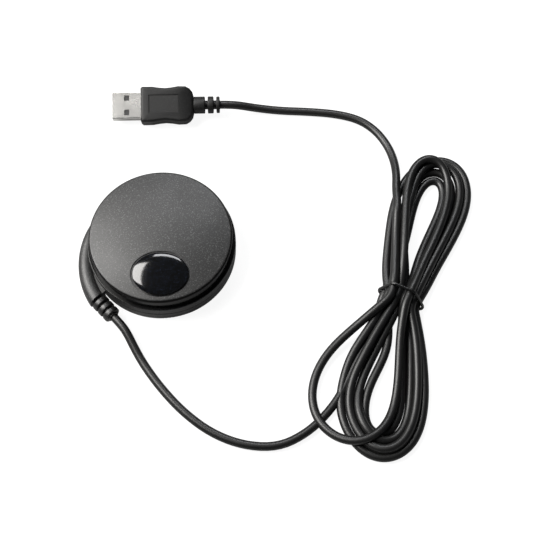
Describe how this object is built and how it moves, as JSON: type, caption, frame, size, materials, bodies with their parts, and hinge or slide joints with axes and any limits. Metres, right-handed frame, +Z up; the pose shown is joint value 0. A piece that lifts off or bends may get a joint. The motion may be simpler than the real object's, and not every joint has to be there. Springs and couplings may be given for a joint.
{
  "type": "gps receiver puck with usb cable",
  "caption": "Round black GPS receiver puck on a magnetic base, with a side cable outlet and a thin USB cable gathered in a tied hank.",
  "frame": {"origin": "middle of the underside of the magnetic base, on the axis of the round puck", "axes": "+Z up out of the dome along the puck's axis; -Y towards the edge with the oval badge; the cable outlet is at -X and the tied cable lies at +X"},
  "size_m": [0.1674, 0.1701, 0.0197],
  "materials": {
    "case_plastic": "moulded charcoal polycarbonate with a fine even texture",
    "base_plastic": "moulded charcoal plastic",
    "pad_rubber": "thin black friction sheet",
    "magnet_ceramic": "sintered ferrite",
    "plated_steel": "zinc plated steel",
    "label_paper": "blank silver label",
    "brass_insert": "turned brass",
    "seal_rubber": "soft seal",
    "badge_gloss": "high gloss black lens",
    "board_laminate": "green solder mask",
    "antenna_ceramic": "fired dielectric ceramic",
    "silver_plate": "fired silver",
    "tinned_steel": "tinned sheet",
    "chip_resin": "black moulding resin",
    "capacitor_body": "fired chip capacitor",
    "connector_white": "natural nylon",
    "wire_jacket": "thin insulated wire",
    "relief_rubber": "satin black elastomer",
    "cable_jacket": "satin black jacket",
    "tie_plastic": "glossy black twist tie",
    "nickel_plate": "bright nickel plated shell",
    "plug_insulator": "black plastic tongue of the plug",
    "gold_plate": "gold flashed contacts",
    "plug_rubber": "matte dark overmould"
  },
  "bodies": {
    "magnet_base": {"base_shell": "base_plastic", "base_friction_pad": "pad_rubber", "ring_magnet": "magnet_ceramic", "magnet_back_plate": "plated_steel", "base_screw": "plated_steel"},
    "receiver": {"lower_housing": "case_plastic", "top_cover": "case_plastic", "blank_label": "label_paper", "mounting_insert": "brass_insert", "case_gasket": "seal_rubber", "badge_film": "seal_rubber", "badge": "badge_gloss", "circuit_board": "board_laminate", "antenna_pad": "seal_rubber", "patch_antenna": "antenna_ceramic", "antenna_electrode": "silver_plate", "feed_pin": "brass_insert", "rf_shield": "tinned_steel", "receiver_chip": "chip_resin", "saw_filter": "tinned_steel", "low_noise_amplifier": "chip_resin", "reference_oscillator": "tinned_steel", "usb_interface_chip": "chip_resin", "voltage_regulator": "chip_resin", "flash_memory": "chip_resin", "backup_cell": "tinned_steel", "chip_capacitors": "capacitor_body", "case_screws": "plated_steel", "cable_header": "connector_white", "header_plug": "connector_white", "lead_wires": "wire_jacket", "puck_strain_relief": "relief_rubber", "puck_cord": "cable_jacket", "cord_hank": "cable_jacket", "plug_cord": "cable_jacket", "twist_tie": "tie_plastic", "usb_shell": "nickel_plate", "usb_tongue": "plug_insulator", "usb_contacts": "gold_plate", "usb_overmould": "plug_rubber", "usb_wire_block": "connector_white", "plug_strain_relief": "plug_rubber"}
  },
  "joints": [
    {"name": "receiver_lift", "type": "slide", "parent": "magnet_base", "child": "receiver", "axis": [0, 0, 1], "range_m": [0, 0.025]}
  ]
}
